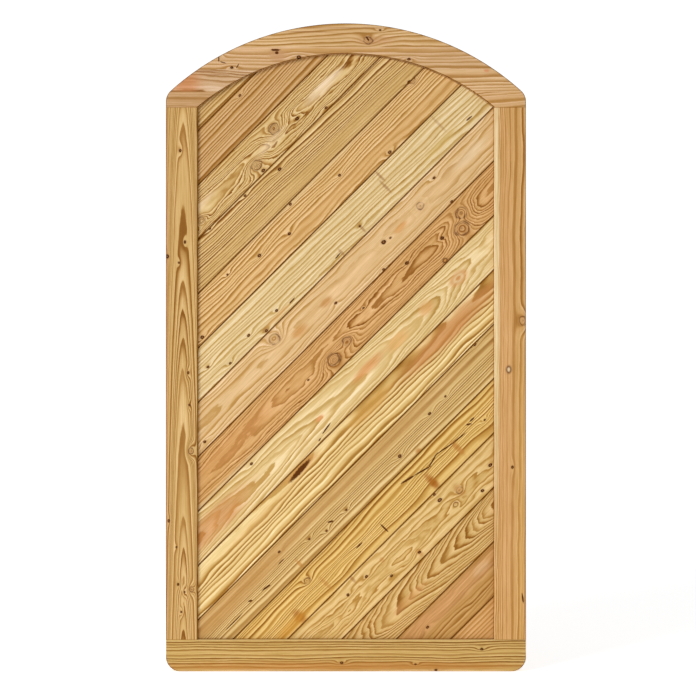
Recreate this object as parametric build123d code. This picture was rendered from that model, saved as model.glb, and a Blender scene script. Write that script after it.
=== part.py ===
from build123d import *
import os
from math import cos, radians, sin, sqrt

# Arched garden gate leaf in solid larch, in millimetres.
# A grooved frame holds a panel of tongue-and-groove boards laid at 45 degrees.
# The frame is two stiles standing on a full-width bottom rail, under an arched top rail that is
# sawn from a blank of edge-glued staves. Loose dowels hold the four corners.
# +X is to the right seen from the front, +Y is towards the back, +Z is up.
# The origin is the middle of the leaf's bottom edge.

# --- driving dimensions ---------------------------------------------------------------------
gate_width = 1000.0
gate_height = 1800.0
frame_depth = 45.0  # thickness of the stiles and rails
member_width = 88.0  # face width of the stiles and of the bottom rail
arch_width = 84.0  # face width of the arch, measured along its radius
outer_radius = 727.0  # outside curve of the arch
corner_radius = 40.0  # rounding of the leaf's four outer corners
arris_bevel = 2.5  # taken off the frame's long edges

groove_depth = 14.0  # plough groove that runs round the inside of the frame
board_thickness = 20.0
board_fit = 0.2  # play between a board's face and the groove's cheek
board_entry = 11.0  # how far the boards stand in the groove, which leaves room to swell
board_pitch = 107.0  # from one seam to the next
board_lean = 45.0  # degrees, rising to the right
board_gap = 0.8  # open seam between two boards' shoulders
seam_chamfer = 2.0  # V of each long edge of a board, front and back
tongue_length = 8.0
tongue_thickness = 5.0
tongue_play = 0.2  # on each side of the tongue
tongue_end_play = 1.2  # beyond the tongue's tip
middle_seam_height = 855.0  # where the seam crosses the leaf's centre line
seams_above = 7  # seams between the middle one and the top left corner
seams_below = 7  # seams between the middle one and the bottom right corner

crown_stave_height = 66.0
stave_height = 62.0

dowel_diameter = 12.0
dowel_length = 80.0
dowel_chamfer = 1.0
dowel_fit = 0.05  # glue film round a dowel
dowel_end_play = 1.0
dowel_insets = (26.0, 54.0)  # from the leaf's outer edge to each dowel's axis

# --- worked out from them -------------------------------------------------------------------
half_width = gate_width / 2
half_opening = half_width - member_width
inner_radius = outer_radius - arch_width
arch_centre_height = gate_height - outer_radius
spring_height = arch_centre_height + sqrt(inner_radius**2 - half_opening**2)
crown_joint = gate_height - crown_stave_height
middle_joint = crown_joint - stave_height
haunch_joint = middle_joint - stave_height
board_count = seams_above + seams_below + 2  # one more than the seams, with the middle one among them
beyond = gate_height  # longer than anything it has to cut through
flush = 0.01  # an edge within this of a plane lies in it


def opening_face(grow):
    """The frame's opening seen from the front, larger by grow all round."""
    half = half_opening + grow
    radius = inner_radius + grow
    sill = member_width - grow
    spring = arch_centre_height + sqrt(radius**2 - half**2)
    crown = arch_centre_height + radius
    sides = Polyline((-half, spring), (-half, sill), (half, sill), (half, spring))
    arch = ThreePointArc((half, spring), (0, crown), (-half, spring))
    return Plane.XZ * make_face([sides, arch])


def leaf_face():
    """The leaf's outline seen from the front, with its four corners rounded."""
    shoulder = arch_centre_height + sqrt(outer_radius**2 - half_width**2)
    sides = Polyline(
        (-half_width, shoulder), (-half_width, 0), (half_width, 0), (half_width, shoulder)
    )
    arch = ThreePointArc((half_width, shoulder), (0, gate_height), (-half_width, shoulder))
    outline = make_face([sides, arch])
    return Plane.XZ * fillet(outline.vertices(), corner_radius)


def through(face, thickness):
    """A face in the leaf's middle plane, given thickness equally to front and back."""
    return extrude(face, amount=thickness / 2, both=True)


def slab(low_x, high_x, low_z, high_z):
    """A block that takes in the whole depth of the leaf between these limits."""
    size = (high_x - low_x, 2 * frame_depth, high_z - low_z)
    centre = ((low_x + high_x) / 2, 0, (low_z + high_z) / 2)
    return Pos(*centre) * Box(*size)


def frame_ring():
    """The whole frame before it is parted into members: grooved inside, long edges bevelled."""
    ring = through(leaf_face(), frame_depth) - through(opening_face(0), frame_depth)
    on_a_face = [
        edge
        for edge in ring.edges()
        if abs(abs(edge.center().Y) - frame_depth / 2) < flush
        and edge.bounding_box().size.Y < flush
    ]
    ring = chamfer(on_a_face, arris_bevel)
    return ring - through(opening_face(groove_depth), board_thickness + 2 * board_fit)


def dowel_places():
    """(x, z) of each dowel's middle: two at each corner, across the joint line."""
    return [
        (side * (half_width - inset), height)
        for height in (member_width, spring_height)
        for side in (-1, 1)
        for inset in dowel_insets
    ]


def dowel():
    pin = Cylinder(dowel_diameter / 2, dowel_length)
    return chamfer(pin.edges().filter_by(GeomType.CIRCLE), dowel_chamfer)


def dowel_hole():
    return Cylinder(dowel_diameter / 2 + dowel_fit, dowel_length + 2 * dowel_end_play)


def frame_members():
    """{name: solid} of the frame, parted at its joints and drilled for the dowels."""
    ring = frame_ring()
    for x, z in dowel_places():
        ring -= Pos(x, 0, z) * dowel_hole()
    limits = {
        "bottom_rail": (-beyond, beyond, -beyond, member_width),
        "left_stile": (-beyond, 0, member_width, spring_height),
        "right_stile": (0, beyond, member_width, spring_height),
        "arch_left_foot": (-beyond, 0, spring_height, haunch_joint),
        "arch_right_foot": (0, beyond, spring_height, haunch_joint),
        "arch_left_haunch": (-beyond, 0, haunch_joint, middle_joint),
        "arch_right_haunch": (0, beyond, haunch_joint, middle_joint),
        "arch_middle_stave": (-beyond, beyond, middle_joint, crown_joint),
        "arch_crown_stave": (-beyond, beyond, crown_joint, gate_height + beyond),
    }
    return {name: ring & slab(*box) for name, box in limits.items()}


def board_section(low, has_tongue, has_groove):
    """A board's cross section. x is the height up the panel, square to the seams, and y the depth."""
    shoulder_low = low + board_gap / 2
    shoulder_high = low + board_pitch - board_gap / 2
    face = board_thickness / 2
    middle = (shoulder_low + shoulder_high) / 2
    section = Pos(middle, 0) * Rectangle(shoulder_high - shoulder_low, board_thickness)
    section = chamfer(section.vertices(), seam_chamfer)
    if has_tongue:
        reach = tongue_length + face
        tongue = Rectangle(reach, tongue_thickness)
        tongue_middle = shoulder_high + tongue_length - reach / 2
        section += Pos(tongue_middle, 0) * tongue
    if has_groove:
        depth = tongue_length + tongue_end_play - board_gap
        slot = Rectangle(2 * depth, tongue_thickness + 2 * tongue_play)
        section -= Pos(shoulder_low, 0) * slot
    return section


def boards():
    """{name: solid} of the boards, from the top left corner to the bottom right one."""
    lean = radians(board_lean)
    along = (cos(lean), 0, sin(lean))
    up_the_panel = (-sin(lean), 0, cos(lean))
    plane = Plane(origin=(0, 0, middle_seam_height), x_dir=up_the_panel, z_dir=along)
    panel = through(opening_face(board_entry), board_thickness)
    made = {}
    for number in range(1, board_count + 1):
        lower_seam = (seams_above + 1 - number) * board_pitch
        section = board_section(lower_seam, has_tongue=number > 1, has_groove=number < board_count)
        strip = extrude(plane * section, amount=beyond, both=True)
        made[f"board_{number:02d}"] = strip & panel
    return made


def main():
    nodes = frame_members()
    nodes.update(boards())
    nodes["corner_dowels"] = Compound([Pos(x, 0, z) * dowel() for x, z in dowel_places()])
    os.makedirs("parts", exist_ok=True)
    for name, shape in nodes.items():
        export_step(shape, f"parts/{name}.step")


main()
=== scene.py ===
# %% [markdown]
# # An arched garden gate leaf in larch
#
# The leaf is a grooved frame round sixteen diagonal tongue-and-groove boards. Its shape comes from the
# packed model, which stays the measure of every size. What this lesson adds is what a joiner's plane and
# the tree add: eased edges, open drying cracks and resin pockets as real shape, and a growth-ring pattern
# that runs through each piece the way it was sawn.

from math import atan2, cos, hypot, pi, radians, sin, sqrt

import bmesh
import bpy
import numpy as np
from mathutils import Matrix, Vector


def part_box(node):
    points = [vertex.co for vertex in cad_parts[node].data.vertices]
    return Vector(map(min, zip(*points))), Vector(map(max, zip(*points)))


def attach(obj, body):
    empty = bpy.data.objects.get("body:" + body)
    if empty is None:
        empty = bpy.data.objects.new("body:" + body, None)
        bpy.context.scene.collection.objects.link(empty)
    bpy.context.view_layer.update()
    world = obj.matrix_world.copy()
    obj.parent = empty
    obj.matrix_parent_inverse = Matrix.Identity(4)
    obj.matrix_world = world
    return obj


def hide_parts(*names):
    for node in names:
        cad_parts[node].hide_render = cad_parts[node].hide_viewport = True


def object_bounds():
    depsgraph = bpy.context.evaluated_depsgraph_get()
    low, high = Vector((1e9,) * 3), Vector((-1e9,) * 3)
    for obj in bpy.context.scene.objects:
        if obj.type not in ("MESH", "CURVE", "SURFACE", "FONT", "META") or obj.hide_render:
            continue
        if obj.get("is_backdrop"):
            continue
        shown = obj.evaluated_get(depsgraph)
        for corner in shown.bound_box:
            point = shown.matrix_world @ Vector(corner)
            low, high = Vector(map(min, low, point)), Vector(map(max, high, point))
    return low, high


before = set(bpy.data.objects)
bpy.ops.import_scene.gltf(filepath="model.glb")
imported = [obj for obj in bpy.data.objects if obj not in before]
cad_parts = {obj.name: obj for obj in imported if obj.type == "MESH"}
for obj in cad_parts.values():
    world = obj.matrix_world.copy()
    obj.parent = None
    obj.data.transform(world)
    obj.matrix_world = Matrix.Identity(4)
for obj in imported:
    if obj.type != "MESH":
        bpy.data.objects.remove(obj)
cad_low, cad_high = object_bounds()
print("nodes", len(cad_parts), "size in metres", [round(v, 4) for v in cad_high - cad_low])

# %% [markdown]
# ## Sizes read from the frame
#
# Every dimension used later is worked out from the boxes of the packed nodes. The boards lean at 45
# degrees, so a point of the leaf has a place `along` the boards, (x + z) / sqrt 2, and a place `up` the
# panel square to them, (z - x) / sqrt 2. A board whose foot is in the left stile touches its own box's low
# corner with its lower edge, which gives the height of that edge up the panel.

# %% Leaf, frame and arch
SLANT = sqrt(0.5)  # sine and cosine of the boards' 45 degrees
stile_low, stile_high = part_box("left_stile")
crown_low, crown_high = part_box("arch_crown_stave")
_, panel_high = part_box("board_08")

half_width = cad_high.x
half_opening = -stile_high.x
half_depth = cad_high.y
sill_top = stile_low.z
spring = stile_high.z  # where the arch stands on the stiles
crown_joint = crown_low.z
middle_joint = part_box("arch_middle_stave")[0].z
haunch_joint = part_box("arch_left_haunch")[0].z
rise = crown_high.z - crown_joint
outer_radius = (crown_high.x**2 + rise**2) / (2 * rise)  # a circle from its chord and rise
arch_centre = crown_high.z - outer_radius
inner_radius = hypot(half_opening, spring - arch_centre)
board_face = panel_high.y
board_reach = panel_high.x  # how far the boards' ends reach into the stiles' grooves
entry = board_reach - half_opening
print("outer radius", round(outer_radius, 4), "inner radius", round(inner_radius, 4))
print("boards enter the frame by", round(entry, 4))

# %% The boards' edges up the panel


def edge_from_box(node):
    """The lower shoulder of a board that starts in the left stile: (low z - low x) of its box / sqrt 2."""
    low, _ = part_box(node)
    return (low.z - low.x) * SLANT


pitch = edge_from_box("board_08") - edge_from_box("board_09")


def lower_edge(number):
    """Board 1 is at the top left corner, and each next one is a pitch lower."""
    return edge_from_box("board_08") + (8 - number) * pitch


def middle_of(number):
    return lower_edge(number) + pitch / 2


print("pitch of the boards", round(pitch, 4))

# %% [markdown]
# ## A skin from rings of points
#
# Every wooden piece here is a profile carried along a path: a closed ring of points is worked out for many
# stations at once, as one numpy array, and neighbouring rings are joined by four-sided faces. Modelling by
# hand with bevels would also do, but a formula keeps each face on the packed size and puts more stations
# where a crack needs them. The two ends are closed with one face each, and points that meet, such as at a
# feathered tip, are merged.

# %% The skin maker
WELD = 2e-6  # points nearer than this are one
SLIVER = 1e-6  # an edge shorter than this goes
CREASE = radians(32)  # a sharper turn between two faces shows as an edge


def skin(name, rings):
    """A closed mesh object from rings of shape (stations, points round, 3), with both ends capped."""
    stations, around, _ = rings.shape
    index = np.arange(stations * around).reshape(stations, around)
    here, onward = index[:-1], index[1:]
    quads = np.stack([here, np.roll(here, -1, 1), np.roll(onward, -1, 1), onward], axis=-1)
    faces = quads.reshape(-1, 4).tolist()
    faces += [index[0, ::-1].tolist(), index[-1].tolist()]
    mesh = bpy.data.meshes.new(name)
    mesh.from_pydata(rings.reshape(-1, 3).tolist(), [], faces)
    work = bmesh.new()
    work.from_mesh(mesh)
    bmesh.ops.remove_doubles(work, verts=work.verts, dist=WELD)
    bmesh.ops.dissolve_degenerate(work, edges=work.edges, dist=SLIVER)
    bmesh.ops.recalc_face_normals(work, faces=work.faces)
    work.to_mesh(mesh)
    work.free()
    mesh.shade_smooth()
    mesh.set_sharp_from_angle(angle=CREASE)
    made = bpy.data.objects.new(name, mesh)
    bpy.context.scene.collection.objects.link(made)
    return made


def place(piece, node):
    """The piece stands for its packed node, which is hidden: same body."""
    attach(piece, "root")
    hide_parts(node)
    return piece


# %% [markdown]
# ## The frame's members
#
# A stile, a rail and a stave of the arch are all what lies between two edge lines. The edge lines move into
# the wood by an offset that depends on the depth: at the faces by the radius of the rounded edge, and
# inside the groove by the groove's depth. So one function of a station and an offset describes each member,
# and the same section serves them all.

# %% The section that all members share
EASE = 0.0028  # radius of the frame's rounded edges
EASE_STEPS = 6  # points round one of them
GROOVE = 0.014  # depth of the groove that holds the boards
GROOVE_HALF = board_face + 0.0002  # with a little play at a board's face
ACROSS = 26  # points across a member's face


def eased():
    """Depth and offset over one rounded edge, a quarter circle of radius EASE, from face to edge."""
    turn = np.linspace(0, pi / 2, EASE_STEPS)
    return half_depth - EASE * (1 - np.sin(turn)[::-1]), EASE * (1 - np.cos(turn)[::-1])


def edge_section(groove):
    """(depth, offset) pairs down one edge from the front face to the back face."""
    depth, offset = eased()
    front = np.stack([-depth, offset], axis=1)
    back = np.stack([depth, offset], axis=1)[::-1]
    cheeks = [(-GROOVE_HALF, 0), (-GROOVE_HALF, GROOVE), (GROOVE_HALF, GROOVE), (GROOVE_HALF, 0)]
    return np.concatenate([front, np.array(cheeks) if groove else np.empty((0, 2)), back])


def member(name, low_edge, high_edge, stations, low_groove=False):
    """The piece between two edge lines. low_edge and high_edge give (x, z) for a station and an offset."""
    low_side = edge_section(low_groove)
    high_side = edge_section(False)
    share = np.linspace(0, 1, ACROSS)[1:-1]
    station = np.asarray(stations)[:, None]

    def side(edge, section):
        x, z = edge(station, section[None, :, 1])
        shape = np.broadcast_shapes(np.shape(x), np.shape(z), (len(station), len(section)))
        depth = np.broadcast_to(section[None, :, 0], shape)
        return np.stack([np.broadcast_to(x, shape), depth, np.broadcast_to(z, shape)], axis=-1)

    low = side(low_edge, low_side)
    high = side(high_edge, high_side)
    front = low[:, :1] + (high[:, :1] - low[:, :1]) * share[None, :, None]
    back = high[:, -1:] + (low[:, -1:] - high[:, -1:]) * share[None, :, None]
    return skin(name, np.concatenate([front, high, back, low[:, ::-1]], axis=1))


print("points down a plain edge", len(edge_section(False)), "and a grooved one", len(edge_section(True)))

# %% Circles and stations
STEP_UP = 0.006


def arc(radius, reach):
    """Height of a circle about the arch's centre, at a distance from the leaf's centre line."""
    return arch_centre + np.sqrt(np.maximum(radius**2 - reach**2, 0))


def reach_at(radius, height):
    """Half the width of that circle at a height."""
    return np.sqrt(np.maximum(radius**2 - (height - arch_centre) ** 2, 0))


def spaced(bottom, top):
    """Stations from bottom to top, about a step apart."""
    return np.linspace(bottom, top, int((top - bottom) / STEP_UP) + 1)


print("stations up a stile", len(spaced(sill_top, spring)))

# %% [markdown]
# ### Stiles, feet and haunches
#
# These stand up, so a station is a height. The stiles are straight. A foot or haunch of the arch lies
# between the outer circle, rounded into the leaf's side, and the inner circle.

# %% The upright members
CORNER = 0.040  # rounding of the leaf's outer corners
corner_x = half_width - CORNER
corner_z = arch_centre + sqrt((outer_radius - CORNER) ** 2 - corner_x**2)


def outline_reach(height, offset):
    """Half the leaf's width at a height: straight, then the corner's rounding, then the arch's circle."""
    over = np.maximum(height - corner_z, 0)
    rounding = corner_x + np.sqrt(np.maximum((CORNER - offset) ** 2 - over**2, 0))
    circle = reach_at(outer_radius - offset, height)
    touch = corner_z + (CORNER - offset) * (corner_z - arch_centre) / (outer_radius - CORNER)
    return np.where(height <= corner_z, half_width - offset, np.where(height < touch, rounding, circle))


def upright(name, hand, bottom, top, inner):
    """A member left (hand -1) or right (hand +1) of the middle, from an inner edge to the outline."""

    def inner_edge(height, offset):
        return hand * inner(height, offset), height

    def outer_edge(height, offset):
        return hand * outline_reach(height, offset), height

    return member(name, inner_edge, outer_edge, spaced(bottom, top), low_groove=True)


def straight_inner(height, offset):
    return half_opening + offset


def arched_inner(height, offset):
    return reach_at(inner_radius + offset, height)


upright_members = {}
for word, hand in (("left", -1), ("right", 1)):
    parts = (
        (f"{word}_stile", sill_top, spring, straight_inner),
        (f"arch_{word}_foot", spring, haunch_joint, arched_inner),
        (f"arch_{word}_haunch", haunch_joint, middle_joint, arched_inner),
    )
    for node, bottom, top, inner in parts:
        made = upright(f"{node}_wood", hand, bottom, top, inner)
        upright_members[node] = place(made, node)
print("upright members", len(upright_members))

# %% [markdown]
# ### Crown and middle staves
#
# The arch was sawn from a blank of level staves glued edge to edge. The crown stave is a cap of the outer
# circle above one glue line. The middle stave lies between two glue lines, with both circles cutting into
# it. Their stations run level, and each offset has its own half length, so that the feathered tips close
# cleanly.

# %% The level members
CROWN_STATIONS = 121
MIDDLE_STATIONS = 241


def between(fraction, marks):
    """Spreads a fraction over marks 0 to n: what is past a mark is a share of the way to the next one.
    A negative fraction gives the mirrored place."""
    size = np.abs(fraction)
    whole = np.clip(np.floor(size), 0, len(marks) - 2).astype(int)
    table = np.stack(marks)
    lower = np.take_along_axis(table, whole[None], axis=0)[0]
    upper = np.take_along_axis(table, whole[None] + 1, axis=0)[0]
    return np.sign(fraction) * (lower + (upper - lower) * (size - whole))


def crown_reach(fraction, offset):
    return fraction * reach_at(outer_radius - offset, crown_joint)


def crown_low_edge(fraction, offset):
    return crown_reach(fraction, offset), crown_joint


def crown_high_edge(fraction, offset):
    reach = crown_reach(fraction, offset)
    return reach, np.maximum(arc(outer_radius - offset, reach), crown_joint)


def middle_reach(fraction, grown, shrunk):
    """0 at the centre, 1 where the inner circle, grown, meets the lower glue line, 2 where the outer
    circle, shrunk, meets the upper one, 3 at the tip."""
    fraction = fraction + 0 * (grown + shrunk)
    inner_end = reach_at(inner_radius + grown, middle_joint) + 0 * fraction
    kink = reach_at(outer_radius - shrunk, crown_joint) + 0 * fraction
    tip = reach_at(outer_radius - shrunk, middle_joint) + 0 * fraction
    return between(fraction, [0 * fraction, inner_end, kink, tip])


def middle_low_edge(fraction, offset):
    reach = middle_reach(fraction, offset, 0)
    return reach, np.maximum(middle_joint, arc(inner_radius + offset, reach))


def middle_high_edge(fraction, offset):
    reach = middle_reach(fraction, 0, offset)
    height = np.minimum(crown_joint, arc(outer_radius - offset, reach))
    return reach, np.maximum(height, middle_joint)


crown_stations = np.linspace(-1, 1, CROWN_STATIONS)
crown_stave = member("arch_crown_stave_wood", crown_low_edge, crown_high_edge, crown_stations)
place(crown_stave, "arch_crown_stave")
middle_stations = np.linspace(-3, 3, MIDDLE_STATIONS)
middle_edges = (middle_low_edge, middle_high_edge)
middle_stave = member("arch_middle_stave_wood", *middle_edges, middle_stations, low_groove=True)
place(middle_stave, "arch_middle_stave")
print("points in the crown stave", len(crown_stave.data.vertices))
print("points in the middle stave", len(middle_stave.data.vertices))

# %% [markdown]
# ### Bottom rail
#
# The rail runs the full width under both stiles, with rounded lower corners. Its edges turn all the way
# round it, so it is built the other way: as a stack of outlines through the leaf's thickness, from the
# front face to the back.

# %% The bottom rail
TURN_POINTS = 20  # points round a lower corner
TOP_POINTS = 60  # points along half the top


def sill_outline(outer, inner):
    """(x, z) round the rail: the outer edges moved in by one offset, the groove's edge by another."""
    half_turn = np.linspace(0, pi / 2, TURN_POINTS)
    radius = CORNER - outer
    opening = half_opening + inner
    along_top = np.linspace(0, opening, TOP_POINTS)
    top = np.stack([along_top, np.full(TOP_POINTS, sill_top - inner)], axis=1)
    step = [(opening, sill_top), (half_width - outer, sill_top)]
    corner = np.stack([corner_x + radius * np.cos(half_turn), CORNER - radius * np.sin(half_turn)], axis=1)
    right = np.concatenate([top, step, corner])
    left = right[:0:-1] * (-1, 1)
    return np.concatenate([right, left])


eased_layers = [(depth, offset, offset) for depth, offset in edge_section(False)]
layers = eased_layers[:EASE_STEPS]
layers += [(-GROOVE_HALF, 0, 0), (-GROOVE_HALF, 0, GROOVE), (GROOVE_HALF, 0, GROOVE), (GROOVE_HALF, 0, 0)]
layers += eased_layers[EASE_STEPS:]
outlines = [(depth, sill_outline(outer, inner)) for depth, outer, inner in layers]
rings = np.stack([np.insert(outline, 1, depth, axis=1) for depth, outline in outlines])
sill = place(skin("bottom_rail_wood", rings), "bottom_rail")
print("outline points of the rail", rings.shape[1], "in layers", rings.shape[0])

# %% [markdown]
# ### Holes for the dowels
#
# Two dowels cross each corner's joint, half in one piece and half in the other. Their places are read from
# the packed dowels. The holes are cut with a Boolean, which suits a few clean cylinders in closed pieces.

# %% Drill the corners
HOLE_FIT = 0.00005  # glue film round a dowel
END_PLAY = 0.001  # the hole is deeper than the dowel by this much

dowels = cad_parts["corner_dowels"].data
coordinates = np.empty(len(dowels.vertices) * 3)
dowels.vertices.foreach_get("co", coordinates)
reach = np.abs(coordinates[::3])
dowel_low, dowel_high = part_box("corner_dowels")
dowel_radius = (dowel_high.y - dowel_low.y) / 2
outer_line = reach.max() - dowel_radius
inner_line = reach.min() + dowel_radius
half_length = sill_top - dowel_low.z
matrices = [
    Matrix.Translation((x, 0, height))
    for height in (sill_top, spring)
    for x in (-outer_line, -inner_line, inner_line, outer_line)
]
print("dowel lines at", round(inner_line, 4), round(outer_line, 4), "half length", round(half_length, 4))


def drill(piece):
    """Cuts every dowel's hole that this piece shares."""
    work = bmesh.new()
    radius = dowel_radius + HOLE_FIT
    depth = 2 * (half_length + END_PLAY)
    hole = dict(cap_ends=True, segments=32, radius1=radius, radius2=radius, depth=depth)
    for matrix in matrices:
        bmesh.ops.create_cone(work, matrix=matrix, **hole)
    mesh = bpy.data.meshes.new("drill")
    work.to_mesh(mesh)
    work.free()
    cutter = bpy.data.objects.new("drill", mesh)
    bpy.context.scene.collection.objects.link(cutter)
    modifier = piece.modifiers.new("holes", "BOOLEAN")
    modifier.object = cutter
    modifier.solver = "EXACT"
    evaluated = piece.evaluated_get(bpy.context.evaluated_depsgraph_get())
    piece.data = bpy.data.meshes.new_from_object(evaluated)
    piece.modifiers.clear()
    bpy.data.objects.remove(cutter)


for piece in (sill, *upright_members.values()):
    if "haunch" not in piece.name:
        drill(piece)
        print(piece.name, "polygons", len(piece.data.polygons))

# %% [markdown]
# ## The boards
#
# Each board is its cross section, with a tongue on the upper edge and a groove in the lower one, carried
# along the 45 degree line. Every point of the section runs until it meets the outline that the frame's
# groove allows, so the ends follow the stiles, the rail and the arch without any cutting. Cracks and
# pockets are furrows: the face sinks along them, and the section gets extra points beside each one.

# %% A board's section and ends
SHOULDER_GAP = 0.0004  # half the open seam between two boards
TONGUE = 0.008
TONGUE_HALF = 0.0025
SLOT_HALF = 0.0027
SLOT = 0.0084
V_EDGE = 0.002  # the V of each seam
V_CLEAR = 1.3 * V_EDGE  # the flat of the face starts this far from a shoulder
FLAT_POINTS = 34  # points across that flat
FURROW_POINTS = 9  # more points across each furrow
MEET = 0.00001  # keeps the V's foot off the shoulder
grown_radius = inner_radius + entry
grown_low = sill_top - entry
centre_up = arch_centre * SLANT  # the arch's centre up the panel, and as far along the boards


def first_along(up):
    """Where a line at this place up the panel leaves the left stile or the bottom rail."""
    return np.maximum(up - board_reach / SLANT, grown_low / SLANT - up)


def last_along(up):
    """Where that line meets the right stile or the arch."""
    off = np.abs(up - centre_up)
    on_arch = centre_up + np.sqrt(np.maximum(grown_radius**2 - off**2, 0))
    on_arch = np.where(off < grown_radius, on_arch, np.inf)
    return np.maximum(np.minimum(up + board_reach / SLANT, on_arch), first_along(up))


top_tip = (arch_centre + sqrt(grown_radius**2 - board_reach**2) + board_reach) * SLANT
bottom_tip = (grown_low - board_reach) * SLANT
print("the panel's corners are at", round(bottom_tip, 4), round(top_tip, 4))

# %% The section


def v_edge():
    """(distance from the shoulder, depth below the face) over a board's eased edge.
    It is a bevel that swells midway by 1 - cos of a whole turn."""
    turn = np.linspace(0, 1, 5)
    bevel = 0.9 * V_EDGE * turn
    swelling = 0.05 * V_EDGE * (1 - np.cos(2 * pi * turn))
    drop = V_EDGE - 1.1 * bevel
    drop[-1] = 0
    return np.stack([bevel + swelling + MEET, drop], axis=1)


def board_section(number, furrows):
    """(up, depth) points round a board's section, from the lower front edge, and how many are in front."""
    low = lower_edge(number) + SHOULDER_GAP
    high = lower_edge(number) + pitch - SHOULDER_GAP
    has_low, has_high = low > bottom_tip, high < top_tip
    low, high = max(low, bottom_tip), min(high, top_tip)
    ease = v_edge()
    lower_v = ((low, 0) + ease)[: len(ease) * has_low]
    upper_v = ((high, 0) - ease * (1, -1))[::-1][: len(ease) * has_high]
    flat_low, flat_high = low + V_CLEAR * has_low, high - V_CLEAR * has_high
    flat = [np.linspace(flat_low, flat_high, FLAT_POINTS)]
    for _, across, _, width, _ in furrows:
        flat.append(middle_of(number) + across + width * np.linspace(-1.5, 1.5, FURROW_POINTS))
    flat = np.unique(np.round(np.concatenate(flat), 6))
    flat = flat[(flat >= flat_low) & (flat <= flat_high)]
    rim = np.concatenate([lower_v, np.stack([flat, 0 * flat], axis=1), upper_v])
    front = rim + (0, -board_face)
    back = (rim * (1, -1) + (0, board_face))[::-1]
    tip, root = high + TONGUE, low + SLOT
    tongue = np.array([(high, -TONGUE_HALF), (tip, -TONGUE_HALF), (tip, TONGUE_HALF), (high, TONGUE_HALF)])
    slot = np.array([(low, SLOT_HALF), (root, SLOT_HALF), (root, -SLOT_HALF), (low, -SLOT_HALF)])
    return np.concatenate([front, tongue[: 4 * has_high], back, slot[: 4 * has_low]]), len(front)


print("points round a plain board's section", len(board_section(8, ())[0]))

# %% A board with its furrows
STEP_ALONG = 0.005  # length of a board between two rings of points


def sink(along, across, furrows):
    """How far the face sinks: each furrow's depth x exp(-2.5 d^2) x exp(-2 e^4).
    d is the distance across it over its width, and e the distance along it over half its length."""
    total = np.zeros(np.broadcast(along, across).shape)
    for middle, line, length, width, depth in furrows:
        bell = np.exp(-(((across - line) / width) ** 2) * 2.5)
        total += depth * bell * np.exp(-(((along - middle) / (length / 2)) ** 4) * 2)
    return total


def board(number, furrows):
    """Furrows are (along, across, length, width, depth), from the board's middle."""
    section, front_count = board_section(number, furrows)
    up, depth = section[None, :, 0], section[None, :, 1]
    start, end = first_along(up), last_along(up)
    length = float((end - start).max())
    share = np.linspace(0, 1, int(length / STEP_ALONG) + 2)[:, None]
    along = start + (end - start) * share
    middle = middle_of(number)
    lowered = sink(along - middle, up - middle, furrows)
    lowered[:, front_count:] = 0
    y = depth + lowered
    rings = np.stack([(along - up) * SLANT, np.broadcast_to(y, along.shape), (along + up) * SLANT], axis=-1)
    return skin(f"board_{number:02d}_wood", rings)


print("board 8 starts at", round(float(first_along(middle_of(8))), 3), "along the panel")

# %% [markdown]
# ## Shader values as arithmetic
#
# Growth rings are a formula, and a node tree is easier to read as one. `Field` wraps a socket, so that
# adding or multiplying fields adds Math nodes. All nodes come from `Recipe.node`.

# %% Fields and recipes


class Field:
    """A value that varies over a surface: one output socket, used in sums and products."""

    def __init__(self, recipe, socket):
        self.recipe = recipe
        self.socket = socket

    def maths(self, operation, *others):
        values = dict(enumerate((self, *others)))
        return self.recipe.node("ShaderNodeMath", {"operation": operation}, values)

    def __add__(self, other):
        return self.maths("ADD", other)

    def __mul__(self, other):
        return self.maths("MULTIPLY", other)

    def __sub__(self, other):
        return self.maths("SUBTRACT", other)

    def __truediv__(self, other):
        return self.maths("DIVIDE", other)

    def __rsub__(self, other):
        return self.recipe.node("ShaderNodeMath", {"operation": "SUBTRACT"}, {0: other, 1: self})

    __radd__ = __add__
    __rmul__ = __mul__

    def between(self, low, high, to_low=0.0, to_high=1.0):
        """Eases from to_low to to_high as the value goes from low to high."""
        settings = {"interpolation_type": "SMOOTHSTEP"}
        values = {"Value": self, "From Min": low, "From Max": high, "To Min": to_low, "To Max": to_high}
        return self.recipe.node("ShaderNodeMapRange", settings, values)

    def bell(self):
        """exp(-value), for a squared distance."""
        return self.recipe.power(0.3679, self)

    def ramp(self, stops):
        """(colour, alpha) of stops, each a place from 0 to 1 and a colour of four numbers."""
        return self.recipe.node("ShaderNodeValToRGB", {"stops": stops}, {"Fac": self}, ("Color", "Alpha"))


print("a field can be", [name for name in vars(Field) if not name.startswith("_")])

# %% The recipe's nodes


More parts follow.
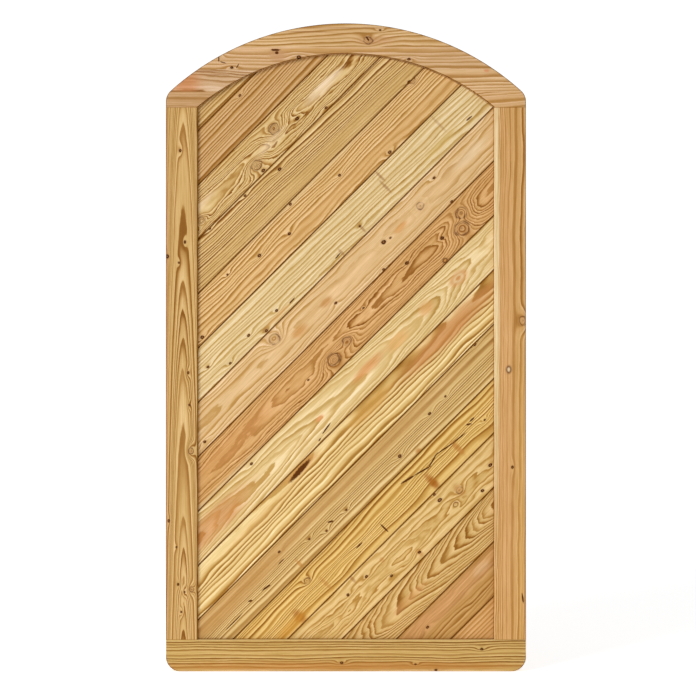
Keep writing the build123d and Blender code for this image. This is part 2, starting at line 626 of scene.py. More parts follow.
class Recipe:
    """A material's node tree."""

    def __init__(self, name):
        self.material = bpy.data.materials.new(name)
        self.material.use_nodes = True
        self.tree = self.material.node_tree
        self.shader = self.tree.nodes["Principled BSDF"]

    def node(self, kind, settings=None, values=None, out=0):
        made = self.tree.nodes.new(kind)
        for name, value in (settings or {}).items():
            if name == "stops":
                elements = made.color_ramp.elements
                while len(elements) < len(value):
                    elements.new(1.0)
                for element, (place_on_ramp, colour) in zip(elements, value):
                    element.position = place_on_ramp
                    element.color = colour
            else:
                setattr(made, name, value)
        for key, value in (values or {}).items():
            self.feed(made.inputs[key], value)
        if isinstance(out, tuple):
            return [Field(self, made.outputs[name]) for name in out]
        return Field(self, made.outputs[out])

    def feed(self, socket, value):
        if isinstance(value, Field):
            self.tree.links.new(value.socket, socket)
        else:
            socket.default_value = value

    def mix(self, share, under, over):
        """The colour under, with a share of the colour over."""
        settings = {"data_type": "RGBA"}
        return self.node("ShaderNodeMix", settings, {0: share, 6: under, 7: over}, 2)

    def scaled(self, vector, by):
        """A vector or colour, times another, part by part."""
        return self.node("ShaderNodeVectorMath", {"operation": "MULTIPLY"}, {0: vector, 1: by})

    def channels(self, three):
        """A colour of three fields."""
        return self.node("ShaderNodeCombineXYZ", {}, dict(enumerate(three)))

    def power(self, base, exponent):
        return self.node("ShaderNodeMath", {"operation": "POWER"}, {0: base, 1: exponent})

    def noise(self, vector, detail=2.0, rough=0.5):
        """Smooth noise about 0, from -0.5 to 0.5, one swell per unit."""
        values = {"Vector": vector, "Scale": 1.0, "Detail": detail, "Roughness": rough}
        return self.node("ShaderNodeTexNoise", {}, values) - 0.5

    def noise_along(self, value, detail=0.0):
        settings = {"noise_dimensions": "1D"}
        return self.node("ShaderNodeTexNoise", settings, {"W": value, "Scale": 1.0, "Detail": detail})


def tone(red, green, blue):
    """A colour chosen by its display values from 0 to 255, as the linear light that shaders use."""
    coded = [v / 255 for v in (red, green, blue)]
    return (*[v / 12.92 if v <= 0.04045 else ((v + 0.055) / 1.055) ** 2.4 for v in coded], 1.0)


def stops(*rows):
    """A ramp's stops from rows of place, display colour and cover."""
    return [(place_on_ramp, (*tone(*colour)[:3], cover)) for place_on_ramp, colour, cover in rows]


print("mid grey as linear light", round(tone(128, 128, 128)[0], 3))

# %% [markdown]
# ## Larch
#
# A board is a slice of a cone of growth rings. The distance from the tree's heart line tells which year a
# point grew in. Where the heart line lies behind the face and slopes against it, the rings show as pointed
# arches, and where it lies off to the side, as straight lines. Image textures would look alike on every
# board. This pattern is solid, so edges and ends show the right grain too.

# %% Tones of knots, pins and painted shade
DARK_KNOT = (84, 38, 0)
SHADE_BROWN = (134, 78, 0)
KNOT_STOPS = stops(
    (0.00, (110, 66, 36), 0.90),
    (0.05, (128, 80, 44), 0.60),
    (0.12, (172, 118, 68), 0.30),
    (0.27, (150, 98, 56), 0.40),
    (0.33, (92, 54, 28), 0.90),
    (0.38, (110, 66, 36), 0.60),
    (0.44, (176, 122, 70), 0.22),
    (0.80, (190, 140, 84), 0.00),
)
PIN_STOPS = stops(
    (0.00, (150, 98, 50), 0.90),
    (0.10, (128, 80, 38), 0.95),
    (0.20, (62, 24, 0), 1.00),
    (0.30, (70, 30, 0), 1.00),
    (0.37, (150, 100, 56), 0.30),
    (0.60, (160, 108, 60), 0.00),
)
print("tones across a knot", len(KNOT_STOPS), "and across a pin knot", len(PIN_STOPS))

# %% [markdown]
# ### A piece's own millimetres
#
# A Mapping node turns and shifts Object coordinates, so that each piece has its own lengths along, through
# and across the grain. `swell` is noise stretched along the grain. `spot` is the squared distance from a
# small ellipse, and knots, cracks and stains are all made of spots.

# %% The piece's measures
MM = 1000  # millimetres in a metre
THROUGH = 1e5  # a spot this deep goes right through the board


class Larch(Recipe):
    """A recipe for one sawn piece, measured in millimetres from the piece's origin."""

    def __init__(self, name, origin, lean, seed):
        super().__init__(name)
        self.seed = seed
        self.place_in_leaf = self.node("ShaderNodeTexCoord", {}, {}, "Object")
        x, y, z = origin
        turn = radians(lean)
        shift = (-(x * cos(turn) + z * sin(turn)) * MM, -y * MM, -(z * cos(turn) - x * sin(turn)) * MM)
        values = {"Location": shift, "Rotation": (0, turn, 0), "Scale": (MM,) * 3}
        self.grain = self.node("ShaderNodeMapping", {}, {"Vector": self.place_in_leaf, **values})
        lengths = self.node("ShaderNodeSeparateXYZ", {}, {0: self.grain}, ("X", "Y", "Z"))
        self.along, self.depth, self.across = lengths
        self.fibre = self.swell(55, 0.9, 9.4, 3.0, 0.65)
        self.streak = self.swell(150, 4.0, 8.1, 2.0, 0.6)
        self.cloud = self.swell(190, 34, 3.3, 2.0)

    def swell(self, length, width, offset, detail=2.0, rough=0.5):
        """Noise with swells of this length and width. Each use has its own offset into the noise."""
        settings = {"operation": "MULTIPLY_ADD"}
        start = (self.seed * 7.3 + offset, self.seed * 3.1, offset)
        values = {0: self.grain, 1: (1 / length, 1 / width, 1 / width), 2: start}
        return self.noise(self.node("ShaderNodeVectorMath", settings, values), detail, rough)

    def spot(self, along, across, half_length, half_width, turn=0.0, depth=0.0, half_depth=THROUGH):
        """Squared distance from a spot, 1 on its rim. turn is in degrees, towards the upper edge."""
        settings = {"vector_type": "TEXTURE"}
        values = {
            "Vector": self.grain,
            "Location": (along, depth, across),
            "Rotation": (0, -radians(turn), 0),
            "Scale": (half_length, half_depth, half_width),
        }
        away = self.node("ShaderNodeMapping", settings, values)
        return self.node("ShaderNodeVectorMath", {"operation": "DOT_PRODUCT"}, {0: away, 1: away}, "Value")


def nearest(spots):
    """The least of several squared distances, as a distance."""
    least = spots[0]
    for other in spots[1:]:
        least = least.maths("MINIMUM", other)
    return least.maths("SQRT")


print("lengths in a recipe are in metres /", MM)

# %% [markdown]
# ### Growth rings
#
# A branch pushed the rings aside, so a bell is added to the distance at each knot. The distance over the
# width of a year counts the years, and noise on that count makes some wide and some narrow. Each year goes
# from pale earlywood to a dark line of latewood that ends sharply.

# %% Rings and years
YEAR = ((0.00, 0.10), (0.08, 0.0), (0.40, 0.14), (0.62, 0.48), (0.80, 1.0), (0.95, 0.95), (1.00, 0.10))
YEAR_STOPS = [(share, (dark, dark, dark, 1)) for share, dark in YEAR]


def from_heart(wood, heart, slope, wave, ragged):
    """Distance from the sloping heart line, sqrt(across^2 + depth^2), with slow bends and a ragged edge."""
    bend = wood.swell(wave[1], wave[1] / 3.5, 1.7) * (2 * wave[0])
    rough_edge = wood.swell(38, 9, 5.1, 3.0, 0.6) * (2 * ragged)
    off_across = wood.across - (wood.along * slope[0] + heart[0])
    off_depth = wood.depth - (wood.along * slope[1] + heart[1])
    return (off_across * off_across + off_depth * off_depth).maths("SQRT") + bend + rough_edge


def round_knots(wood, radius, knots):
    """The distance with a wide and a close bell added at each knot, and the knots' spots."""
    spots = []
    for along, across, size, push in knots:
        wide = wood.spot(along, across, size * 3.2, size * 1.7)
        close = wood.spot(along, across, size * 1.2, size)
        spots.append(close)
        radius = wide.bell() * (push * size) + (close * 1.2).bell() * (0.6 * push * size) + radius
    return radius, spots


def round_pins(wood, radius, pins, ring):
    """The distance with one year's width added at each pin knot, and the pins' spots."""
    spots = []
    for along, across, size in pins:
        spots.append(wood.spot(along, across, size * 1.3, size))
        radius = wood.spot(along, across, size * 5, size * 1.9).bell() * ring + radius
    return radius, spots


def latewood_of(wood, radius, ring):
    """0 in earlywood to 1 in latewood, for the year that each distance falls in."""
    years = radius / ring
    years = wood.noise_along(years * 0.21 + wood.seed) * 3.0 + years
    year = years.maths("FLOOR")
    vigour = wood.noise_along(year * 0.73 + wood.seed * 1.9).between(0.3, 0.7, 0.45, 1.0)
    line, _ = (years - year).ramp(YEAR_STOPS)
    return line * vigour * (wood.streak + wood.cloud).between(-0.45, 0.25, 0.55, 1.0)


print("a year is darkest at", max(YEAR, key=lambda stop: stop[1])[0], "of its width")

# %% [markdown]
# ### Colour
#
# Latewood is the same wood with more pigment, so it is a density: each channel is the early tone times
# (late / early) to the power of the density. Stains, knots, pin knots and cracks are painted on top with
# soft masks, and painted shade in the seams, at the stiles' ends and along the opening. Last comes the
# light, the unevenness of planed wood, with painted shade and painted highlights at the frame's rounded
# edges. Darker wood is browner too, so green and blue fall faster with it than red.

# %% Stains and marks
HAIRLINES = 8.0  # spacing of the finest lines
BROWNING = (1.0, 1.35, 2.4)  # how fast red, green and blue fall with the light
CRACK_DEPTH = 8  # how far below the face a crack's colour goes


def pigmented(wood, early, late, density):
    """early x (late / early) ^ density, channel by channel."""
    pale, dark = tone(*early)[:3], tone(*late)[:3]
    return wood.scaled(pale, wood.channels([wood.power(d / p, density) for p, d in zip(pale, dark)]))


def stained(wood, colour, patches):
    for along, across, long, wide, tint, strength in patches:
        mask = wood.spot(along, across, long, wide)
        mask = (wood.swell(70, 12, along * 0.01, 2.0) * 1.3 + mask).maths("MAXIMUM", 0.0)
        colour = wood.mix((mask * mask).bell() * strength, colour, tone(*tint))
    return colour


def painted(wood, colour, distance, ramp, worn=1.0):
    """Marks painted by a distance, through a ramp of colours and covers."""
    mark, cover = distance.ramp(ramp)
    return wood.mix(cover * worn, colour, mark)


def painted_shade(wood, colour, distance, clean, full, share):
    """Painted shade, a brown over the colour, from the clean distance up to its share at the full one."""
    return wood.mix(distance.between(clean, full, 0.0, share), colour, tone(*SHADE_BROWN))


print("green and blue fall with the light to the powers", BROWNING[1:])

# %% [markdown]
# ### Edges and seams
#
# A board's rim beside the frame and the V of each seam get painted shade, where the frame and the next
# board shade them. A member of the frame gets painted shade at its rounded edges, a stile also at the
# joints at its ends, and the rail and the right stile a painted highlight on their upper rounded edge.

# %% Beside the edges


def outside_opening(wood):
    """How far, in millimetres, a point lies outside the frame's opening; negative inside it."""
    x, _, z = wood.node("ShaderNodeSeparateXYZ", {}, {0: wood.place_in_leaf}, ("X", "Y", "Z"))
    above = (z - arch_centre).maths("MAXIMUM", 0.0)
    from_arch = (x * x + above * above).maths("SQRT") - inner_radius
    beside = (x.maths("ABSOLUTE") - half_opening).maths("MAXIMUM", sill_top - z)
    return beside.maths("MAXIMUM", from_arch) * MM


def arris_of(wood, face, pale_side):
    """Painted shade on a member's rounded edges: how much the light is lowered towards its faces."""
    from_middle = wood.depth.maths("ABSOLUTE")
    loss = from_middle.between(face - 8, face - 3) * from_middle.between(face - 0.4, face, 0.6, 0.0)
    # pale_side turns the upper edge's painted shade into a painted highlight
    if pale_side:
        loss = loss * wood.across.between(-10, 10, 1.0, -0.3)
    return loss


print("the opening is", round(2 * half_opening * MM, 1), "mm wide")

# %% [markdown]
# ### The whole recipe
#
# One call makes the wood of one piece. Its latewood stands a little proud of the softer earlywood.

# %% The larch recipe
GLOSS = 0.03  # planed wood has almost none


def larch(
    name, origin, lean, early, late, heart=(0, 60), slope=(0, 0.02), ring=3.2, wave=(6, 260), ragged=0.5,
    lines=0.8, knots=(), pins=(), slits=(), patches=(), seed=0, edge=None, end=None, face=0, sunk=False,
    pale_side=False,
):
    """The material of a sawn piece of larch. Lengths are in millimetres from its origin.
    heart: the heart line's place across and behind the middle. slope: how these change per millimetre.
    ring: mean width of a year. wave: height and length of slow bends. ragged: height of fine ones.
    early, late: display colours of earlywood and latewood. lines: how dense full latewood is.
    knots: (along, across, radius, push). pins: (along, across, radius).
    slits: (along, across, half length, half width, turn).
    patches: (along, across, half length, half width, colour, strength).
    edge, end: half the piece's width and length, where painted shade darkens its seams and joints.
    face: how far the face lies in front of the middle. sunk: the piece stands back in the frame, with
    painted shade on its rim along the opening. pale_side: a painted highlight on the upper rounded edge,
    in place of painted shade."""
    wood = Larch(name, origin, lean, seed)
    radius = from_heart(wood, heart, slope, wave, ragged)
    radius, knot_spots = round_knots(wood, radius, knots)
    radius, pin_spots = round_pins(wood, radius, pins, ring)
    latewood = latewood_of(wood, radius, ring)
    hairline = (radius * (2 * pi / HAIRLINES)).maths("SINE")
    light = wood.fibre * 0.52 + wood.streak * 0.42 + wood.cloud * 0.26 + hairline * 0.06 + 1.0
    relief = latewood * 0.25 + wood.fibre * 0.15

    colour = stained(wood, pigmented(wood, early, late, latewood * lines), patches)
    if knots:
        distance = (nearest(knot_spots) + wood.swell(18, 12, 2.2) * 0.9) / 3
        worn = wood.swell(24, 16, 6.1, 1.0).between(-0.22, 0.12, 0.3, 1.0)
        colour = painted(wood, colour, distance, KNOT_STOPS, worn)
    if pins:
        distance = (nearest(pin_spots) + wood.swell(9, 5, 4.4) * 0.7) / 2.7
        colour = painted(wood, colour, distance, PIN_STOPS)
    if slits:
        spots = [wood.spot(a, c, long, wide, turn, -face, CRACK_DEPTH) for a, c, long, wide, turn in slits]
        cracks = (nearest(spots) + wood.swell(6, 3, 6.6) * 0.7).between(0.75, 1.3, 1.0, 0.0)
        colour = wood.mix(cracks * 0.96, colour, tone(*DARK_KNOT))
        relief = relief - cracks * 0.5
    if edge:
        # painted shade in the V of each seam, where the next board shades it
        colour = painted_shade(wood, colour, wood.across.maths("ABSOLUTE"), edge - 3.0, edge - 0.8, 0.85)
    if end:
        # painted shade along the joints at the stile's ends
        colour = painted_shade(wood, colour, wood.along.maths("ABSOLUTE"), end - 2.2, end - 0.6, 0.65)
    if sunk:
        # painted shade on the board's rim beside the frame, where the frame shadows it
        colour = painted_shade(wood, colour, outside_opening(wood), -3.6, -0.4, 0.6)
    else:
        # painted shade on the rounded edges, with a painted highlight on the upper one where pale_side is
        # set
        light = light - arris_of(wood, face, pale_side)
    colour = wood.scaled(colour, wood.channels([wood.power(light, fall) for fall in BROWNING]))

    shader = wood.shader
    wood.feed(shader.inputs["Base Color"], colour)
    wood.feed(shader.inputs["Roughness"], wood.fibre * 0.2 - latewood * 0.1 + 0.62)
    shader.inputs["Specular IOR Level"].default_value = GLOSS
    bump = {"Height": relief, "Distance": 0.001, "Strength": 0.7}
    wood.feed(shader.inputs["Normal"], wood.node("ShaderNodeBump", {}, bump))
    return wood.material


def clothe(piece, material):
    piece.data.materials.clear()
    piece.data.materials.append(material)


print("gloss of the bare wood", GLOSS)

# %% [markdown]
# ## One tree after another
#
# No two boards come from the same place in a tree, so each has its own list: where the heart line lay, how
# wide the years are, its two tones, and its knots, pin knots, cracks and stains. Lengths are millimetres
# along the board from the leaf's centre line, and across it from its middle, towards the upper edge.

# %% The boards' wood
CREAM = (232, 206, 156)
FLAME = (230, 200, 156)
ORANGE = (206, 146, 78)
AMBER = (186, 126, 58)
UMBER = (150, 96, 52)

board_wood = {}
board_wood[1] = dict(heart=(-150, 40), ring=10.0, early=(215, 181, 126), late=(122, 74, 22), lines=0.9)
board_wood[2] = dict(
    heart=(-170, 30), slope=(0.03, 0), ring=9.2, wave=(5, 200), ragged=1.4, lines=1.0,
    early=(212, 172, 122), late=(136, 86, 29), pins=[(-377, 40, 3.5)],
)
board_wood[3] = dict(
    heart=(-6, 40), slope=(0, 0.012), ring=3.9, wave=(8, 150), ragged=1.6, lines=1.0,
    early=(228, 198, 143), late=(117, 68, 18),
    knots=[(-268, 14, 12, 1.6), (-375, -24, 12, 1.4), (-592, -22, 8, 1.5)],
    pins=[(-203, -11, 5), (-125, -47, 4), (-372, -46, 5)],
    patches=[
        (-90, 0, 66, 13, FLAME, 0.95), (-300, -6, 60, 12, FLAME, 0.5), (-560, 8, 50, 7, FLAME, 0.8),
    ],
)
board_wood[4] = dict(
    heart=(-210, 20), slope=(-0.03, 0), ring=6.4, wave=(7, 200), ragged=1.4, lines=0.95,
    early=(227, 195, 137), late=(98, 52, 12),
    pins=[(-350, 47, 3.5), (-230, 31, 4.5), (-484, 51, 3), (196, -53, 5)],
    patches=[(-60, -34, 520, 22, (204, 166, 104), 0.75)],
)
board_wood[5] = dict(
    heart=(-74, 60), slope=(0.01, 0.008), ring=6.6, wave=(9, 180), ragged=1.2, lines=0.9,
    early=(231, 193, 139), late=(137, 86, 26), knots=[(312, 52, 8, 1.2)],
    pins=[
        (-433, 33, 3), (-333, 8, 5), (-231, -8, 4.5), (-171, 48, 4), (-17, 8, 4), (127, -45, 4.5),
        (-606, -40, 5),
    ],
    patches=[(60, -24, 520, 20, (212, 166, 104), 0.7), (-80, 50, 260, 7, CREAM, 0.4)],
)
board_wood[6] = dict(
    heart=(-90, 110), ring=5.8, wave=(6, 220), ragged=1.4, lines=0.7, early=(230, 205, 157),
    late=(159, 114, 48),
    pins=[
        (-404, -21, 4), (-360, -47, 4), (-300, -27, 4), (-495, -40, 3.5), (-546, -3, 4), (30, -25, 3),
    ],
    slits=[(-250, -38, 11, 1.8, 4), (-72, -40, 10, 1.8, 5), (457, -28, 10, 2.2, -4)],
    patches=[
        (168, 34, 4, 20, UMBER, 0.6), (158, 2, 4, 24, UMBER, 0.55), (386, 22, 4, 30, UMBER, 0.35),
        (-310, -40, 50, 7, ORANGE, 0.45), (350, -22, 60, 9, (206, 172, 100), 0.7),
        (30, -34, 4, 16, UMBER, 0.55), (-58, -40, 4, 13, UMBER, 0.5), (-360, -44, 8, 7, UMBER, 0.5),
    ],
)
board_wood[7] = dict(
    heart=(4, 46), slope=(0, 0.004), ring=6.4, wave=(12, 230), ragged=1.2, lines=0.75,
    early=(230, 195, 148), late=(158, 109, 45), knots=[(-253, 28, 12, 1.9), (295, 3, 9, 0.8)],
    pins=[
        (152, 4, 6), (174, -1, 3), (-62, -22, 4), (378, 31, 4), (-593, -37, 4), (98, -50, 3.5),
        (366, -50, 3.5),
    ],
    patches=[
        (130, 0, 420, 24, (228, 190, 138), 0.8), (214, -1, 24, 8, ORANGE, 0.8),
        (-80, -1, 20, 10, (202, 150, 92), 0.9), (-188, -6, 26, 12, ORANGE, 0.7),
        (500, 6, 60, 14, FLAME, 0.6),
    ],
)
board_wood[8] = dict(
    heart=(2, 40), slope=(0, -0.02), ring=4.2, wave=(7, 170), ragged=1.8, lines=0.68,
    early=(221, 175, 117), late=(102, 52, 10),
    knots=[(-70, -22, 15, 1.7), (-8, -12, 11, 1.4), (440, -16, 17, 1.5), (470, 16, 14, 1.0)],
    pins=[(264, 24, 5), (382, 4, 5), (-160, -12, 3), (90, 21, 3)],
    patches=[
        (-420, 10, 200, 26, (206, 146, 88), 0.4), (-560, -50, 160, 7, CREAM, 0.6),
        (344, -46, 8, 7, DARK_KNOT, 1.0), (344, -46, 4.4, 3.6, ORANGE, 0.9),
    ],
)
board_wood[9] = dict(
    heart=(0, 62), slope=(0, 0.045), ring=5.0, wave=(9, 200), ragged=1.2, lines=0.65,
    early=(234, 207, 154), late=(154, 108, 42), pins=[(-330, 42, 4)],
    slits=[(-112, -36, 18, 2.2, 9), (-148, -45, 5, 1.8, 10)],
    patches=[
        (-540, 0, 170, 34, (196, 128, 70), 0.7), (-106, -3, 14, 6, (222, 150, 96), 0.7),
        (90, 2, 60, 14, (214, 150, 88), 0.85), (200, -4, 40, 16, (220, 170, 104), 0.8),
        (320, 4, 26, 18, (218, 164, 100), 0.8), (442, 0, 30, 17, (208, 146, 86), 0.9),
        (442, 0, 18, 10, CREAM, 0.8), (442, 0, 9, 5, (208, 146, 86), 0.9),
    ],
)
board_wood[10] = dict(
    heart=(44, 30), slope=(0, 0.012), ring=8.4, wave=(16, 230), ragged=1.0, lines=1.0,
    early=(244, 218, 161), late=(136, 86, 26), slits=[(-140, 40, 40, 7, 3)],
    patches=[
        (120, 26, 90, 17, (206, 158, 84), 0.85), (430, 22, 190, 26, (198, 136, 78), 0.85),
        (-300, 22, 130, 14, (214, 172, 104), 0.5), (-128, 41, 60, 12, ORANGE, 0.7),
    ],
)
board_wood[11] = dict(
    heart=(-70, 30), slope=(0, 0.01), ring=7.4, wave=(4, 200), ragged=0.4, lines=0.6,
    early=(223, 192, 132), late=(86, 43, 6),
    pins=[
        (-235, 28, 3.5), (191, -21, 5), (333, 4, 4), (398, 7, 3), (558, 51, 4), (-100, -24, 3),
        (-20, -22, 3), (-150, -6, 3),
    ],
    slits=[
        (-250, 5, 11, 1.5, 0), (-388, -12, 6, 2.6, -30), (-330, -17, 14, 2.6, -10),
        (-460, -21, 32, 1.5, 0), (-74, -14, 8, 2.6, -30),
    ],
    patches=[
        (-420, 26, 260, 26, (190, 144, 84), 0.8), (100, 34, 500, 18, (198, 154, 94), 0.7),
        (-218, -36, 5, 16, AMBER, 0.7), (238, -48, 9, 8, AMBER, 0.8),
    ],
)
board_wood[12] = dict(
    heart=(-90, 50), slope=(0.03, 0.01), ring=7.0, wave=(14, 260), ragged=0.6, lines=0.95,
    early=(232, 197, 125), late=(132, 80, 20), knots=[(-130, 22, 8, 2.2)], pins=[(536, -10, 3)],
    slits=[
        (268, 24, 22, 3.0, -14), (312, 13, 28, 2.2, -15), (352, 12, 27, 1.9, 15),
        (402, 12, 36, 1.8, -11), (450, 5, 22, 2.0, -7), (496, 13, 8, 2.4, -30), (512, 16, 8, 2.6, 0),
        (43, -10, 11, 2.1, 0), (126, -25, 2.4, 15, 0),
    ],
    patches=[
        (-215, -34, 16, 22, (164, 98, 30), 0.95), (312, -28, 12, 28, (164, 98, 30), 0.95),
        (428, -14, 8, 26, AMBER, 0.8), (-98, -20, 6, 24, AMBER, 0.5),
        (-250, -36, 70, 14, (206, 148, 58), 0.6),
    ],
)
board_wood[13] = dict(
    heart=(-6, 40), slope=(0, 0.008), ring=5.0, wave=(10, 120), ragged=1.2, lines=0.8,
    early=(223, 189, 127), late=(153, 104, 38), knots=[(455, 8, 8, 1.2), (420, -12, 6, 1.2)],
    pins=[
        (30, 22, 4), (102, 22, 4), (397, 28, 5.5), (397, 50, 4), (153, -26, 4), (255, -35, 4),
        (565, -3, 5), (500, -38, 4.5),
    ],
    patches=[
        (254, -36, 8, 14, AMBER, 0.7), (455, 10, 12, 20, AMBER, 0.6), (70, 44, 5, 14, UMBER, 0.6),
        (166, 24, 6, 8, AMBER, 0.5),
    ],
)
board_wood[14] = dict(
    heart=(6, 92), slope=(0.01, -0.10), ring=3.8, wave=(6, 160), ragged=1.2, lines=0.85,
    early=(219, 184, 123), late=(122, 72, 19), patches=[(250, 0, 70, 11, (206, 150, 90), 0.5)],
)
board_wood[15] = dict(
    heart=(70, 20), slope=(0.02, 0), ring=13.0, wave=(16, 150), ragged=1.0, lines=0.8,
    early=(196, 152, 91), late=(131, 80, 26), pins=[(337, 16, 4)],
    patches=[(390, 28, 250, 25, (202, 150, 96), 0.85), (559, 27, 30, 11, FLAME, 0.3)],
)
board_wood[16] = dict(heart=(-150, 60), ring=9.0, lines=0.8, early=(210, 162, 105), late=(160, 106, 44))

print("boards with knots", [number for number, wood in board_wood.items() if "knots" in wood])

# %% Make and clothe the boards
STEEPEST = 15  # degrees off the grain; a steeper crack is colour alone
NARROWEST = 1.2  # millimetres, for a furrow that the mesh can show
WIDEST = 3.0  # a wider crack is no deeper than this one
SHALLOW = 0.4  # a furrow's depth over its width


def furrows_of(slits):
    """(along, across, length, width, depth) in metres of the cracks that follow the grain."""
    return [
        (a / MM, c / MM, 2 * long / MM, max(wide, NARROWEST) / MM, min(wide, WIDEST) * SHALLOW / MM)
        for a, c, long, wide, turn in slits
        if long > wide and abs(turn) <= STEEPEST
    ]


for number, wood in board_wood.items():
    node = f"board_{number:02d}"
    piece = place(board(number, furrows_of(wood.get("slits", ()))), node)
    board_low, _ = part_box(node)
    origin = (0, 0, middle_of(number) / SLANT)
    # edge and sunk give the board painted shade in its seams and on its rim beside the frame
    setting = dict(seed=number, edge=(pitch / 2 - SHOULDER_GAP) * MM, face=-board_low.y * MM, sunk=True)
    clothe(piece, larch(f"larch_{node}", origin, 45, **setting, **wood))
    print(node, "polygons", len(piece.data.polygons))

# %% [markdown]
# ## The frame's wood
#
# The stiles stand, so their grain is turned a quarter. The arch's staves and the bottom rail lie level.

# %% Stiles, rail and staves
frame_wood = {}
frame_wood["left_stile"] = dict(
    heart=(-4, 30), slope=(0.0, 0.02), ring=2.3, wave=(1.2, 300), ragged=0.3, lines=0.75,
    early=(214, 178, 119), late=(109, 61, 16), knots=[(-215, -26, 7, 1.4), (-600, -27, 6, 1.2)],
    pins=[
        (619, 4, 4), (365, -9, 4), (308, 8, 3), (325, 40, 5), (2, -18, 3.5), (-87, -21, 3),
        (-409, 36, 4), (-482, 15, 3), (-585, 10, 3.5), (-607, -8, 3), (-662, 1, 3),
    ],
    # the patch at across 43 is painted shade down the leaf's outer left edge
    patches=[(0, 43, 900, 5, (196, 134, 82), 0.5)],
)
frame_wood["right_stile"] = dict(
    # pale_side: a painted highlight on the inner rounded edge, which faces the lamp
    pale_side=True, heart=(-90, 40), slope=(0.0, 0.01), ring=8.0, wave=(8, 260), ragged=1.2, lines=0.8,
    early=(216, 172, 114), late=(132, 78, 24), knots=[(147, -36, 10, 1.8)], pins=[(-260, -6, 4)],
    slits=[(-624, -35, 13, 2.4, 8)],
    patches=[
        (0, 14, 900, 22, (214, 164, 108), 0.65), (300, 38, 700, 8, CREAM, 0.9),
        (-350, -30, 500, 12, (206, 160, 92), 0.6), (11, 4, 11, 8.4, DARK_KNOT, 1.0),
        (11, 4, 6.2, 4.6, FLAME, 0.9),
    ],
)
frame_wood["bottom_rail"] = dict(
    # pale_side: a painted highlight on the rounded top edge, which faces the lamp
    pale_side=True, heart=(-120, 40), slope=(0.004, 0.0), ring=8.5, wave=(8, 300), ragged=1.2,
    lines=0.8, early=(210, 178, 113), late=(94, 51, 12),
    pins=[(377, 18, 4), (-12, -20, 4), (193, -24, 3), (250, -40, 3.5)],
    patches=[(0, -43, 520, 5, CREAM, 0.7), (0, -29, 560, 13, (180, 124, 60), 0.75)],
)
frame_wood["arch_crown_stave"] = dict(
    heart=(-90, 60), slope=(0.05, 0), ring=9.0, wave=(9, 200), ragged=1.0, lines=0.85,
    early=(217, 180, 132), late=(146, 96, 38), knots=[(61, -14, 10, 1.2)], pins=[(95, 14, 3)],
    slits=[(60, -10, 7, 2.4, -55)],
    patches=[
        (-110, 9, 60, 1.8, UMBER, 0.7), (0, 20, 150, 2, UMBER, 0.5),
        (80, -14, 60, 12, (192, 144, 94), 0.7),
    ],
)
frame_wood["arch_middle_stave"] = dict(
    heart=(80, 70), slope=(0.01, 0), ring=9.0, wave=(6, 220), ragged=1.0, lines=0.65,
    early=(216, 178, 137), late=(144, 94, 38),
    pins=[(-131, 3, 5.5), (175, -3, 4), (-317, -26, 4), (-354, 8, 4)],
    slits=[
        (-353, -2, 8, 1.6, 90), (-341, -12, 9, 1.4, -15), (-196, 23, 13, 3.2, 0), (-192, 15, 5, 4, 0),
        (-301, -22, 7, 1.4, 60),
    ],
    patches=[(-190, 10, 22, 22, (192, 144, 100), 0.7), (0, 24, 300, 5, (198, 150, 84), 0.6)],
)
frame_wood["arch_left_haunch"] = dict(
    heart=(-60, 60), slope=(-0.05, 0), ring=8.0, wave=(9, 150), ragged=1.2, lines=0.55,
    early=(211, 176, 139), late=(90, 46, 11),
    patches=[
        (-90, -6, 50, 30, (198, 130, 80), 0.8), (-30, 26, 60, 2, UMBER, 0.6),
        (0, 16, 50, 2, UMBER, 0.5),
    ],
)
frame_wood["arch_right_haunch"] = dict(
    heart=(60, 60), ring=7.5, wave=(4, 200), ragged=1.0, lines=0.55, early=(222, 184, 138),
    late=(122, 70, 21), patches=[(29, 28, 7, 5, (214, 112, 70), 0.5)],
)
frame_wood["arch_left_foot"] = dict(
    heart=(-90, 50), ring=7.5, wave=(4, 200), ragged=1.0, lines=0.7, early=(198, 158, 115),
    late=(154, 106, 53),
)
frame_wood["arch_right_foot"] = dict(
    heart=(90, 50), slope=(0.09, 0), ring=7.5, wave=(4, 200), ragged=1.0, lines=1.0,
    early=(223, 182, 138), late=(164, 114, 52),
)
frame_pieces = {
    **upright_members,
    "arch_crown_stave": crown_stave,
    "arch_middle_stave": middle_stave,
    "bottom_rail": sill,
}
for seed, (node, piece) in enumerate(frame_pieces.items()):
    low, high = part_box(node)
    lean = 90 if "stile" in node else 0
    setting = dict(seed=seed + 20.5, face=half_depth * MM)
    if lean:
        # painted shade along the joints at the stile's ends
        setting["end"] = (high.z - low.z) / 2 * MM
    clothe(piece, larch(f"larch_{node}", (low + high) / 2, lean, **setting, **frame_wood[node]))
    print(node, "polygons", len(piece.data.polygons))

# %% [markdown]
# ## Dowels
#
# The corner dowels are turned from beech. They are out of sight in a closed frame and show when it is taken
# apart, so the packed shape stays, with a plain pale wood of its own.

# %% Beech dowels
dowel_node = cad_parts["corner_dowels"]
beech = dict(heart=(0, 200), ring=2.2, lines=0.25, early=(214, 178, 138), late=(186, 142, 102))
clothe(dowel_node, larch("beech", (0, 0, 0), 90, **beech))
print("dowels' polygons", len(dowel_node.data.polygons))

# %% [markdown]
# ## Camera, light and floor
#
# A long lens from straight ahead, at half the leaf's height, keeps the frame square. One large soft light
# stands up to the left and in front, so the frame throws a thin shadow on the boards along the arch and the
# left stile. The world fills the rest. Its background is bright to the camera alone, as a white sweep far
# behind would be.

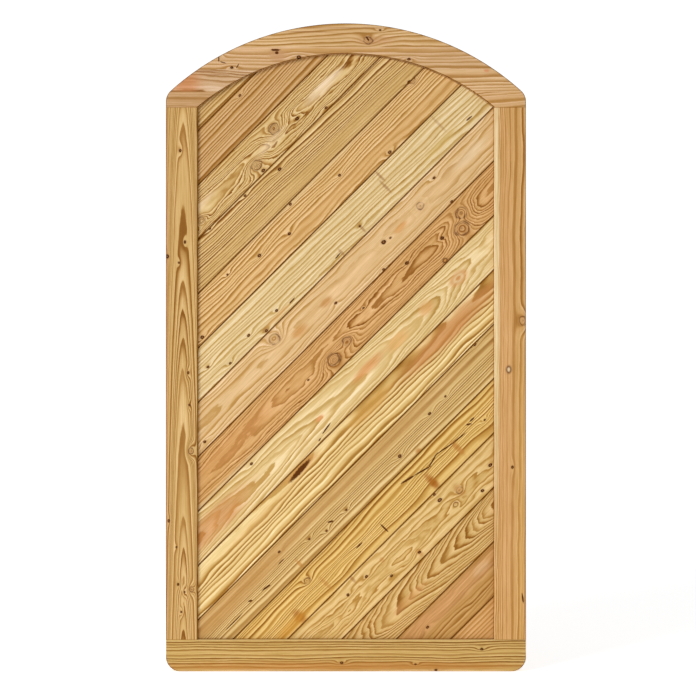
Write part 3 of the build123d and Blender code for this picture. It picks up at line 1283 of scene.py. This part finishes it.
# %% Camera
DISTANCE = 6.0
VIEW_WIDTH = 1.9326  # width of the view in the plane of the frame's front face
camera_data = bpy.data.cameras.new("camera")
camera = bpy.data.objects.new("camera", camera_data)
bpy.context.scene.collection.objects.link(camera)
camera.location = (0.0057, -DISTANCE, 0.8982)
camera.rotation_euler = (pi / 2, 0, 0)
camera_data.lens = camera_data.sensor_width * (DISTANCE - half_depth) / VIEW_WIDTH
bpy.context.scene.camera = camera
print("lens", round(camera_data.lens, 1))

# %% Two soft lights


def softbox(name, location, target, size, power):
    lamp = bpy.data.lights.new(name, "AREA")
    lamp.shape = "DISK"
    lamp.size = size
    lamp.energy = power
    made = bpy.data.objects.new(name, lamp)
    made.location = location
    aim = np.subtract(target, location)
    made.rotation_euler = (pi / 2 + atan2(aim[2], hypot(aim[0], aim[1])), 0, atan2(-aim[0], aim[1]))
    bpy.context.scene.collection.objects.link(made)
    print(name, "light of", power, "W,", size, "m across")


softbox("key", (-2.6, -3.6, 3.6), (0, 0, 0.9), 1.8, 122)
softbox("fill", (3.2, -4.0, 1.6), (0, 0, 0.9), 3.0, 16)

# %% The world, bright to the camera alone
world = bpy.data.worlds.new("studio")
world.use_nodes = True
bpy.context.scene.world = world
nodes, links = world.node_tree.nodes, world.node_tree.links
ambient, bright = nodes["Background"], nodes.new("ShaderNodeBackground")
for light, strength in ((ambient, 0.42), (bright, 1.05)):
    light.inputs["Color"].default_value = (1, 1, 1, 1)
    light.inputs["Strength"].default_value = strength
camera_ray = nodes.new("ShaderNodeLightPath").outputs["Is Camera Ray"]
either = nodes.new("ShaderNodeMixShader")
for source, socket in zip((camera_ray, ambient.outputs[0], bright.outputs[0]), either.inputs):
    links.new(source, socket)
links.new(either.outputs[0], nodes["World Output"].inputs["Surface"])
bpy.context.scene.view_settings.view_transform = "Standard"
print("light in the world", ambient.inputs["Strength"].default_value)

# %% The floor
bpy.ops.mesh.primitive_circle_add(vertices=96, radius=3.2, fill_type="NGON", location=(0, 0, -0.0002))
floor = bpy.context.object
floor.name = "floor"
plain = Recipe("floor_white")
plain.shader.inputs["Base Color"].default_value = (0.92, 0.92, 0.92, 1)
plain.shader.inputs["Roughness"].default_value = 0.9
plain.shader.inputs["Emission Color"].default_value = (1, 1, 1, 1)
plain.shader.inputs["Emission Strength"].default_value = 0.6
clothe(floor, plain.material)
floor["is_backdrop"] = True
print("the floor lies", -floor.location.z, "below the leaf")

# %% The leaf's bounds
low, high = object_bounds()
